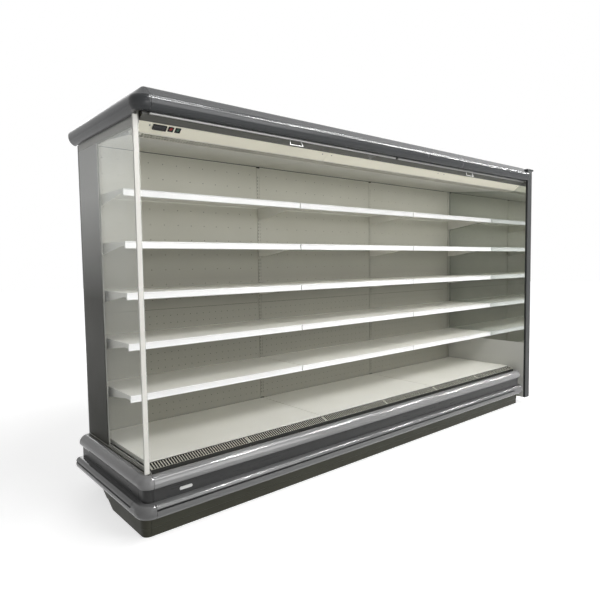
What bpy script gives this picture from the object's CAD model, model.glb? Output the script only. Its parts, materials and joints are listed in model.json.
import json
import math

import bpy
import bmesh
from mathutils import Matrix, Vector


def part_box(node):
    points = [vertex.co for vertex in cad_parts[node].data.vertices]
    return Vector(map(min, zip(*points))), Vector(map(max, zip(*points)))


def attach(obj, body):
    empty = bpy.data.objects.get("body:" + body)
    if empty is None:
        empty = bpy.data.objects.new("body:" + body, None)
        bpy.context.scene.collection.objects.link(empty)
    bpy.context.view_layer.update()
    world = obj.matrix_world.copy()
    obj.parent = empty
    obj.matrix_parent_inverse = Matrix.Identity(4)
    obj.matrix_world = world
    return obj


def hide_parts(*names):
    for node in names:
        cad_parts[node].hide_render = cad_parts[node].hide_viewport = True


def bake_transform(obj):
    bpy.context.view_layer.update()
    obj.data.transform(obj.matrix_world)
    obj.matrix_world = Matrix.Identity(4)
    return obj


# Looks of an open multideck display fridge, built round its CAD frame, in metres.
# The CAD frame's origin is the bottom centre of the whole box.

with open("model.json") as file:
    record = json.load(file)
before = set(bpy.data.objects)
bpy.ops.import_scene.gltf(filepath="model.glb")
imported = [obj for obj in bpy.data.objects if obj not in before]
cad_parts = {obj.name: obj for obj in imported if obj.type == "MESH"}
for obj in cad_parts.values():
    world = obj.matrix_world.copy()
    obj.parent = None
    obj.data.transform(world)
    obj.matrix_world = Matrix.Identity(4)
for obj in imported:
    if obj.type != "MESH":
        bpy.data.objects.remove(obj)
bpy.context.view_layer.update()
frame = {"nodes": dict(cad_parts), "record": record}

ROOT = "cabinet"
ROCKERS = {"red_plastic": "power_rocker", "green_plastic": "lamp_rocker"}

# Where materials change along a piece, measured from the frame
MARGIN = 0.001                                          # sets a limit just past the faces it takes in
POST_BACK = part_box("left_end_glass")[0].y - 0.1 * MARGIN
GASKET_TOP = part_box("left_end_frame")[0].z + 0.008
PANES_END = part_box("left_end_glass")[1]
BUMPER_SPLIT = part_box("upper_bumper_rails")[0].z - 0.01
SKIRT_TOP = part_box("lower_bumper_rails")[0].z
TUB_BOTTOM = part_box("insulated_tub")[0].z
DUCT_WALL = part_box("insulated_rear_wall")[0].y
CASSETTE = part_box("blind_cassette_fascia")
GRILLE_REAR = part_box("return_air_grille")[1].y
BARS_FRONT = GRILLE_REAR - 0.0565
BARS_REAR = GRILLE_REAR - 0.0065

# Mesh pieces
CLOTH_ROWS = 120
CLOTH_THICKNESS = 0.0005
PLINTH_TURN = 0.04                                      # from the plinth's left corner to its joints
LAP_HALF = 0.01
LAP_INSET = 0.0062                                      # from the plinth's outermost face to the lap
LAP_THICKNESS = 0.001
LAP_DOWN = 0.0005                                       # kept clear of what is above

# Surface detail
BUMP_DEPTH = 0.0004
WEAVE = 6000.0                                          # radians per metre: a thread every millimetre
WEAVE_DEPTH = 0.0003

# Camera: metres, degrees, pixels of the 600 x 613 picture, millimetres of sensor
CAMERA_PLACE = (-2.99522, -2.9445, 1.39916)
CAMERA_YAW = 40.8939
CAMERA_PITCH = 3.7546
CAMERA_ROLL = -0.7762
CAMERA_REACH = (0.05, 100)
FOCAL_PIXELS = 527.734
CENTRE_PIXEL = (309.409, 297.338)
IMAGE_SIZE = (600, 613)
SENSOR = 36.0

# Studio: metres and watts
AMBIENT = 0.27
FLOOR_SIZE = 60
FLOOR_GREYS = ((0.64, 0.64, 0.64, 1), (0.62, 0.62, 0.62, 1))
FLOOR_GLOW_NEAR = 0.66
FLOOR_GLOW_RANGE = (2.5, 6.0)                           # the glow grows to 1 between these distances
CEILING = 4.6
STRIP_SIZE = (1.0, 0.12)
STRIP_START, STRIP_STEP, STRIP_COUNT = -0.6, 2.0, 6
STRIP_ROWS = (("near", -2.6, 120), ("far", -0.9, 30))   # name, y, power of each strip


def tone(r, g, b):
    """A colour given as it looks on a screen, 0 to 255, as linear light."""
    def linear(v):
        v = v / 255
        return v / 12.92 if v <= 0.04045 else ((v + 0.055) / 1.055) ** 2.4
    return linear(r), linear(g), linear(b), 1.0


# Materials

class Graph:
    """A material's node tree, with short calls for the nodes used here."""

    def __init__(self, name):
        self.material = bpy.data.materials.new(name)
        self.material.use_nodes = True
        self.tree = self.material.node_tree
        self.shader = self.tree.nodes["Principled BSDF"]
        self.place = self.node("ShaderNodeTexCoord").outputs["Object"]

    def node(self, kind, **settings):
        made = self.tree.nodes.new(kind)
        for key, value in settings.items():
            setattr(made, key, value)
        return made

    def link(self, source, target):
        self.tree.links.new(source, target)

    def set(self, **values):
        for key, value in values.items():
            self.shader.inputs[key.replace("_", " ")].default_value = value

    def noise(self, scale, stretch=(1, 1, 1), detail=3.0, roughness=0.55):
        mapping = self.node("ShaderNodeMapping")
        mapping.inputs["Scale"].default_value = stretch
        self.link(self.place, mapping.inputs["Vector"])
        made = self.node("ShaderNodeTexNoise")
        made.inputs["Scale"].default_value = scale
        made.inputs["Detail"].default_value = detail
        made.inputs["Roughness"].default_value = roughness
        self.link(mapping.outputs["Vector"], made.inputs["Vector"])
        return made.outputs["Fac"]

    def spread(self, value, low, high, start=0.3, end=0.7):
        """Maps start..end of a value to low..high."""
        made = self.node("ShaderNodeMapRange")
        made.inputs["From Min"].default_value = start
        made.inputs["From Max"].default_value = end
        made.inputs["To Min"].default_value = low
        made.inputs["To Max"].default_value = high
        self.link(value, made.inputs["Value"])
        return made.outputs["Result"]

    def mix(self, factor, first, second):
        made = self.node("ShaderNodeMix", data_type="RGBA")
        self.link(factor, made.inputs["Factor"])
        for socket, value in (("A", first), ("B", second)):
            target = [s for s in made.inputs if s.name == socket and s.type == "RGBA"][0]
            if isinstance(value, tuple):
                target.default_value = value
            else:
                self.link(value, target)
        return [s for s in made.outputs if s.type == "RGBA"][0]

    def math(self, operation, first, second=None, third=None):
        made = self.node("ShaderNodeMath", operation=operation)
        for i, value in enumerate((first, second, third)):
            if value is None:
                continue
            if isinstance(value, (int, float)):
                made.inputs[i].default_value = value
            else:
                self.link(value, made.inputs[i])
        return made.outputs[0]

    def above(self, value, limit):
        return self.math("GREATER_THAN", value, limit)

    def below(self, value, limit):
        return self.math("LESS_THAN", value, limit)

    def both(self, first, second):
        return self.math("MULTIPLY", first, second)

    def between(self, value, low, high):
        """1 where a value lies between two limits, else 0."""
        return self.both(self.above(value, low), self.below(value, high))

    def axes(self, source=None):
        """The x, y and z of a vector, or of the place on the piece."""
        parts = self.node("ShaderNodeSeparateXYZ")
        self.link(source or self.place, parts.inputs[0])
        return parts.outputs["X"], parts.outputs["Y"], parts.outputs["Z"]

    def facing(self):
        """The surface's normal, as x, y and z."""
        return self.axes(self.node("ShaderNodeNewGeometry").outputs["True Normal"])

    def climb(self, first, second):
        """0 at the first height and 1 at the second, whichever is the higher."""
        return self.spread(self.axes()[2], 0, 1, first, second)

    def paint(self, colour):
        self.colour = colour
        self.link(colour, self.shader.inputs["Base Color"])

    def recolour(self, mask, colour):
        """Turns the base colour to another one where a mask is 1."""
        self.paint(self.mix(mask, self.colour, colour))

    def bump(self, height, strength, depth=BUMP_DEPTH):
        made = self.node("ShaderNodeBump")
        made.inputs["Strength"].default_value = strength
        made.inputs["Distance"].default_value = depth
        self.link(height, made.inputs["Height"])
        self.link(made.outputs["Normal"], self.shader.inputs["Normal"])


def enamel(name, colour, shade, rough=(0.28, 0.42), gloss=0.5, grain=0.12):
    """Painted sheet: slow colour drift, smudged gloss and a faint orange peel."""
    g = Graph(name)
    g.paint(g.mix(g.spread(g.noise(scale=1.6), 0, 1), colour, shade))
    smudge = g.noise(scale=5.0, detail=6.0)
    g.link(g.spread(smudge, rough[0], rough[1]), g.shader.inputs["Roughness"])
    g.bump(g.noise(scale=420.0, detail=1.5), grain)
    g.set(Specular_IOR_Level=gloss)
    return g


def moulding(name, colour, shade, rough=(0.2, 0.32), gloss=0.5, grain=0.06):
    """Extruded or moulded plastic, with scuffs that run along it."""
    g = Graph(name)
    g.paint(g.mix(g.spread(g.noise(scale=2.2, stretch=(0.4, 0.4, 3.0)), 0, 1), colour, shade))
    scuff = g.noise(scale=14.0, stretch=(0.35, 0.35, 5.0), detail=7.0, roughness=0.7)
    g.link(g.spread(scuff, rough[0], rough[1]), g.shader.inputs["Roughness"])
    g.bump(g.noise(scale=300.0, detail=1.0), grain)
    g.set(Specular_IOR_Level=gloss)
    return g


def metal(name, colour, shade, rough=(0.28, 0.42), stretch=(0.05, 6.0, 6.0)):
    """Bare metal with a drawn or rolled grain."""
    g = Graph(name)
    grain = g.noise(scale=60.0, stretch=stretch, detail=4.0, roughness=0.6)
    g.paint(g.mix(g.spread(grain, 0, 1), colour, shade))
    g.link(g.spread(grain, rough[0], rough[1]), g.shader.inputs["Roughness"])
    g.bump(grain, 0.05)
    g.set(Metallic=1.0)
    return g


def canopy_enamel():
    """Dark glossy sheet; the underside that hides the blinds is a lighter grey."""
    g = enamel("canopy_enamel", tone(46, 48, 50), tone(40, 42, 44),
               rough=(0.2, 0.28), gloss=0.35, grain=0.02)
    low, high = CASSETTE
    x, y, z = g.axes()
    over_cassette = g.between(y, low.y - MARGIN, high.y + MARGIN)
    g.recolour(g.both(over_cassette, g.below(z, high.z + MARGIN)), tone(90, 90, 86))
    return g.material


def grey_moulding():
    """Light grey handrail; the lower bumper is darker."""
    g = moulding("grey_moulding", tone(136, 136, 136), tone(127, 127, 127), rough=(0.08, 0.14), gloss=0.42)
    g.recolour(g.below(g.axes()[2], BUMPER_SPLIT), tone(104, 104, 104))
    return g.material


def dark_band():
    return moulding("dark_band", tone(62, 62, 62), tone(56, 56, 56), rough=(0.25, 0.35), gloss=0.2).material


def black_rubber():
    return moulding("black_rubber", tone(26, 26, 26), tone(20, 20, 20), rough=(0.5, 0.65), gloss=0.2).material


def plinth_enamel():
    return enamel("plinth_enamel", tone(64, 64, 54), tone(56, 56, 46), rough=(0.35, 0.5), gloss=0.2).material


def badge_metal():
    return metal("badge_metal", tone(196, 196, 194), tone(176, 176, 176)).material


def white_enamel():
    return enamel("white_enamel", tone(222, 221, 213), tone(214, 213, 204)).material


def end_frame_enamel():
    """White post; grey rails behind it, with a dark gasket along the foot of the lower one."""
    g = enamel("end_frame_enamel", tone(226, 224, 218), tone(219, 217, 210), gloss=0.4)
    x, y, z = g.axes()
    rails = g.above(y, POST_BACK)
    g.recolour(rails, tone(176, 176, 170))
    g.recolour(g.both(rails, g.below(z, GASKET_TOP)), tone(70, 70, 62))
    return g.material


def rear_enamel():
    """Sheets behind the shelves, greyer low down."""
    g = enamel("rear_enamel", tone(228, 227, 215), tone(220, 219, 206), rough=(0.35, 0.5), gloss=0.3)
    g.recolour(g.climb(1.95, 1.3), tone(150, 149, 138))
    return g.material


def shelf_enamel():
    g = enamel("shelf_enamel", tone(236, 235, 228), tone(229, 228, 219), rough=(0.35, 0.5), gloss=0.2)
    return g.material


def cream_enamel():
    return enamel("cream_enamel", tone(236, 232, 214), tone(229, 225, 207), rough=(0.3, 0.42)).material


def end_grey():
    """Opaque panel, dark at its foot and pale at its top."""
    foot = tone(70, 70, 64)
    g = enamel("end_grey", foot, foot, rough=(0.3, 0.4), gloss=0.03, grain=0.02)
    g.recolour(g.climb(0.5, 0.95), tone(98, 98, 93))
    g.recolour(g.climb(1.2, 1.8), tone(240, 241, 238))
    return g.material


def dark_trim():
    """Dark edges; the spacer between the panes is a plain grey."""
    g = enamel("dark_trim", tone(50, 52, 52), tone(44, 46, 46), rough=(0.3, 0.42), gloss=0.25)
    x, y, z = g.axes()
    g.recolour(g.both(g.below(x, PANES_END.x), g.below(y, PANES_END.y + MARGIN)), tone(160, 160, 154))
    return g.material


def wall_panel():
    return enamel("wall_panel", tone(206, 206, 200), tone(198, 198, 192)).material


def foam_panel():
    """Coated foam panel, dark on the skirt below the bumpers and on the wall of the air duct."""
    g = enamel("foam_panel", tone(166, 166, 162), tone(157, 157, 153), rough=(0.45, 0.6), gloss=0.15)
    x, y, z = g.axes()
    duct = g.both(g.between(y, DUCT_WALL - MARGIN, DUCT_WALL + MARGIN), g.below(g.facing()[1], -0.5))
    g.recolour(g.math("MAXIMUM", duct, g.below(z, SKIRT_TOP)), tone(58, 58, 49))
    return g.material


def black_plastic():
    g = moulding("black_plastic", tone(32, 32, 32), tone(26, 26, 26), rough=(0.35, 0.5), gloss=0.3)
    return g.material


def display_glass():
    return moulding("display_glass", tone(14, 14, 16), tone(10, 10, 12), rough=(0.05, 0.1)).material


def rocker_plastic(name, colour):
    """Black rocker whose middle carries a coloured window."""
    window_width, window_height = 0.5, 0.55             # as shares of the rocker's own
    g = moulding(name, tone(34, 34, 34), tone(28, 28, 28), rough=(0.25, 0.35), gloss=0.3)
    low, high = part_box(ROCKERS[name])
    middle = (low + high) / 2
    half_x = (high.x - low.x) / 2 * window_width
    half_z = (high.z - low.z) / 2 * window_height
    x, y, z = g.axes()
    g.recolour(g.both(g.between(x, middle.x - half_x, middle.x + half_x),
                      g.between(z, middle.z - half_z, middle.z + half_z)), colour)
    return g.material


def red_plastic():
    return rocker_plastic("red_plastic", tone(150, 34, 30))


def green_plastic():
    return rocker_plastic("green_plastic", tone(60, 96, 78))


def grille_white():
    g = moulding("grille_white", tone(214, 212, 200), tone(208, 206, 193), rough=(0.35, 0.5), gloss=0.3)
    return g.material


def grille_grey():
    """Dark grille whose bars have light upper faces."""
    g = moulding("grille_grey", tone(44, 44, 41), tone(38, 38, 35), rough=(0.35, 0.5), gloss=0.2)
    upper_faces = g.above(g.facing()[2], 0.8)
    g.recolour(g.both(upper_faces, g.between(g.axes()[1], BARS_FRONT, BARS_REAR)), tone(178, 177, 165))
    return g.material


def ticket_plastic():
    g = moulding("ticket_plastic", tone(246, 246, 245), tone(240, 240, 239), rough=(0.2, 0.3), gloss=0.4)
    return g.material


def lamp_glass():
    return moulding("lamp_glass", tone(236, 236, 230), tone(228, 228, 222), rough=(0.15, 0.25)).material


def zinc():
    return metal("zinc", tone(150, 152, 154), tone(126, 128, 131), (0.38, 0.55), stretch=(1, 1, 1)).material


def alloy():
    return metal("alloy", tone(176, 176, 174), tone(162, 162, 160), rough=(0.35, 0.5)).material


def copper():
    return metal("copper", tone(196, 122, 88), tone(168, 98, 70)).material


def pvc_grey():
    return moulding("pvc_grey", tone(132, 133, 136), tone(124, 125, 128), rough=(0.4, 0.5)).material


def blind_fabric():
    """Woven cloth: the weave's bump takes the place of the moulding's grain."""
    g = moulding("blind_fabric", tone(172, 174, 176), tone(160, 162, 165), rough=(0.7, 0.85), gloss=0.2)
    x, y, z = g.axes()
    across, up = (g.math("SINE", g.math("MULTIPLY", way, WEAVE)) for way in (x, z))
    g.bump(g.math("MULTIPLY", across, up), 0.2, WEAVE_DEPTH)
    return g.material


def clear_glass():
    """Thin clear pane: more of a mirror at a slant and towards its top, with a film in upright bands."""
    head_on, at_foot, film = 0.04, 0.06, 0.012          # shares of the light that the pane sends back
    g = moulding("clear_glass", tone(246, 248, 244), tone(238, 241, 236), rough=(0.02, 0.05))
    rise = g.math("POWER", g.climb(0.9, 2.05), 1.6)
    slant = g.math("POWER", g.node("ShaderNodeLayerWeight").outputs["Facing"], 5.0)
    by_slant = g.math("MULTIPLY_ADD", slant, 1 - head_on, head_on)
    by_height = g.math("MULTIPLY_ADD", rise, 1 - at_foot, at_foot)
    bands = g.spread(g.noise(scale=2.4, stretch=(0.1, 1.6, 0.12), detail=1.0), 0.75, 1.2)
    shine = g.both(g.both(by_slant, by_height), bands)
    g.link(g.math("ADD", shine, film), g.shader.inputs["Alpha"])
    g.set(Metallic=1.0)
    return g.material


def mirror():
    return metal("mirror", tone(206, 210, 206), tone(200, 204, 201), (0.02, 0.05), stretch=(1, 1, 1)).material


MAKERS = (canopy_enamel, grey_moulding, dark_band, black_rubber, plinth_enamel, badge_metal, white_enamel,
          end_frame_enamel, rear_enamel, shelf_enamel, cream_enamel, end_grey, dark_trim, wall_panel,
          foam_panel, black_plastic, display_glass, red_plastic, green_plastic, grille_white, grille_grey,
          ticket_plastic, lamp_glass, zinc, alloy, copper, pvc_grey, blind_fabric, clear_glass, mirror)
materials = {make.__name__: make() for make in MAKERS}


def dress_nodes():
    """Gives every CAD node the material of its slot in the record."""
    for entry in frame["record"]["subparts"]:
        node = frame["nodes"][entry["node"]]
        node.data.materials.clear()
        node.data.materials.append(materials[entry["material_slot"]])


# Mesh pieces

def piece(name, mesh, slot, body=ROOT):
    made = bpy.data.objects.new(name, mesh)
    bpy.context.scene.collection.objects.link(made)
    mesh.materials.append(materials[slot])
    if body:
        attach(made, body)
    return made


def blind_cloth(side):
    """Fabric from the roller's front face down to the pull bar; it lengthens as the bar comes down."""
    low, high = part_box("blind_fabric_" + side)
    y = (low.y + high.y) / 2
    mesh = bpy.data.meshes.new("blind_cloth_" + side)
    grid = bmesh.new()
    previous = None
    for row in range(CLOTH_ROWS + 1):
        z = high.z + (low.z - high.z) * row / CLOTH_ROWS
        line = [grid.verts.new((x, y, z)) for x in (low.x, high.x)]
        if previous:
            grid.faces.new((previous[0], previous[1], line[1], line[0]))
        previous = line
    grid.to_mesh(mesh)
    grid.free()
    made = piece("blind_cloth_" + side, mesh, "blind_fabric", body=None)
    thicken = made.modifiers.new("thickness", "SOLIDIFY")
    thicken.thickness = CLOTH_THICKNESS
    thicken.offset = 0
    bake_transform(made)
    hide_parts("blind_fabric_" + side)


def plinth_laps():
    """Strips behind the plinth's two joints with its left corner, so that no light shows through."""
    low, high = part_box("plinth")
    x, y = low.x + PLINTH_TURN, low.y + PLINTH_TURN
    inset_x, inset_y = low.x + LAP_INSET, low.y + LAP_INSET
    boxes = ((x - LAP_HALF, x + LAP_HALF, inset_y, inset_y + LAP_THICKNESS, TUB_BOTTOM - LAP_DOWN),
             (inset_x, inset_x + LAP_THICKNESS, y - LAP_HALF, y + LAP_HALF, SKIRT_TOP - LAP_DOWN))
    mesh = bpy.data.meshes.new("plinth_laps")
    strips = bmesh.new()
    for x0, x1, y0, y1, top in boxes:
        made = bmesh.ops.create_cube(strips, size=1.0)["verts"]
        bmesh.ops.scale(strips, vec=(x1 - x0, y1 - y0, top - low.z), verts=made)
        bmesh.ops.translate(strips, vec=((x0 + x1) / 2, (y0 + y1) / 2, (top + low.z) / 2), verts=made)
    strips.to_mesh(mesh)
    strips.free()
    piece("plinth_laps", mesh, "plinth_enamel")


# Floor, light and camera

def add_camera():
    yaw, pitch, roll = (math.radians(a) for a in (CAMERA_YAW, CAMERA_PITCH, CAMERA_ROLL))
    forward = Vector((math.sin(yaw) * math.cos(pitch), math.cos(yaw) * math.cos(pitch), -math.sin(pitch)))
    right = Vector((math.cos(yaw), -math.sin(yaw), 0))
    up = right.cross(forward)
    right, up = (math.cos(roll) * right + math.sin(roll) * up, math.cos(roll) * up - math.sin(roll) * right)
    camera = bpy.data.objects.new("camera", bpy.data.cameras.new("camera"))
    bpy.context.scene.collection.objects.link(camera)
    turn = Matrix((right, up, -forward)).transposed().to_4x4()
    camera.matrix_world = Matrix.Translation(CAMERA_PLACE) @ turn
    camera.data.sensor_width = SENSOR
    long_side = max(IMAGE_SIZE)
    camera.data.lens = FOCAL_PIXELS * SENSOR / long_side
    camera.data.shift_x = (IMAGE_SIZE[0] / 2 - CENTRE_PIXEL[0]) / long_side
    camera.data.shift_y = (CENTRE_PIXEL[1] - IMAGE_SIZE[1] / 2) / long_side
    camera.data.clip_start, camera.data.clip_end = CAMERA_REACH
    bpy.context.scene.camera = camera


def shown_rays(tree):
    """1 for rays that only look at the background: camera, glossy and transmission rays."""
    path = tree.nodes.new("ShaderNodeLightPath")
    total = path.outputs["Is Camera Ray"]
    for name in ("Is Glossy Ray", "Is Transmission Ray"):
        either = tree.nodes.new("ShaderNodeMath")
        either.operation = "MAXIMUM"
        tree.links.new(total, either.inputs[0])
        tree.links.new(path.outputs[name], either.inputs[1])
        total = either.outputs[0]
    return total


def add_world():
    """White where it is looked at, a soft grey as a light."""
    world = bpy.data.worlds.new("studio")
    bpy.context.scene.world = world
    world.use_nodes = True
    tree = world.node_tree
    tree.nodes.clear()
    either = tree.nodes.new("ShaderNodeMixShader")
    tree.links.new(shown_rays(tree), either.inputs[0])
    for socket, strength in ((1, AMBIENT), (2, 1.0)):
        sky = tree.nodes.new("ShaderNodeBackground")
        sky.inputs["Color"].default_value = (1, 1, 1, 1)
        sky.inputs["Strength"].default_value = strength
        tree.links.new(sky.outputs[0], either.inputs[socket])
    out = tree.nodes.new("ShaderNodeOutputWorld")
    tree.links.new(either.outputs[0], out.inputs[0])


def add_floor():
    """Pale floor, as white as the background where it is looked at, with the shadow kept."""
    bpy.ops.mesh.primitive_plane_add(size=FLOOR_SIZE, location=(0, 0, 0))
    floor = bpy.context.object
    floor.name = "floor"
    g = Graph("floor")
    g.paint(g.mix(g.noise(scale=0.8), *FLOOR_GREYS))
    g.set(Roughness=0.9, Specular_IOR_Level=0.0, Emission_Color=(1, 1, 1, 1))
    distance = g.node("ShaderNodeVectorMath", operation="LENGTH")
    g.link(g.place, distance.inputs[0])
    glow = g.spread(distance.outputs["Value"], FLOOR_GLOW_NEAR, 1.0, *FLOOR_GLOW_RANGE)
    g.link(g.both(glow, shown_rays(g.tree)), g.shader.inputs["Emission Strength"])
    floor.data.materials.append(g.material)


def area_light(name, place, target, size, power, highlight_only=False):
    """A lamp that faces its target; one for highlights only adds no diffuse light."""
    data = bpy.data.lights.new(name, "AREA")
    data.shape = "RECTANGLE"
    data.size, data.size_y = size
    data.energy = power
    light = bpy.data.objects.new(name, data)
    light.visible_diffuse = not highlight_only
    bpy.context.scene.collection.objects.link(light)
    direction = Vector(target) - Vector(place)
    light.matrix_world = Matrix.Translation(place) @ direction.to_track_quat("-Z", "Y").to_matrix().to_4x4()


def add_lights():
    """Broad soft lamps all round, and two rows of ceiling strips that show as highlights."""
    area_light("front_key", place=(2.0, -6.5, 3.2), target=(0, 0, 1.0), size=(4.0, 3.0), power=182)
    area_light("front_fill", place=(-2.0, -6.5, 1.6), target=(0, 0, 1.1), size=(3.0, 2.5), power=60)
    area_light("rear_fill", place=(0.5, 6.5, 3.2), target=(0, 0, 1.0), size=(4.0, 3.0), power=90)
    area_light("ceiling_soft", place=(1.5, -2.6, CEILING), target=(0.5, -0.6, 0.3), size=(6.0, 1.0),
               power=165)
    for number in range(STRIP_COUNT):
        x = STRIP_START + STRIP_STEP * number
        for row, y, power in STRIP_ROWS:
            area_light("ceiling_%s_%d" % (row, number), place=(x, y, CEILING), target=(x, y, 0),
                       size=STRIP_SIZE, power=power, highlight_only=True)


dress_nodes()
for blind_side in ("left", "right"):
    blind_cloth(blind_side)
plinth_laps()
add_camera()
add_world()
add_floor()
add_lights()
bpy.context.scene.view_settings.view_transform = "Standard"
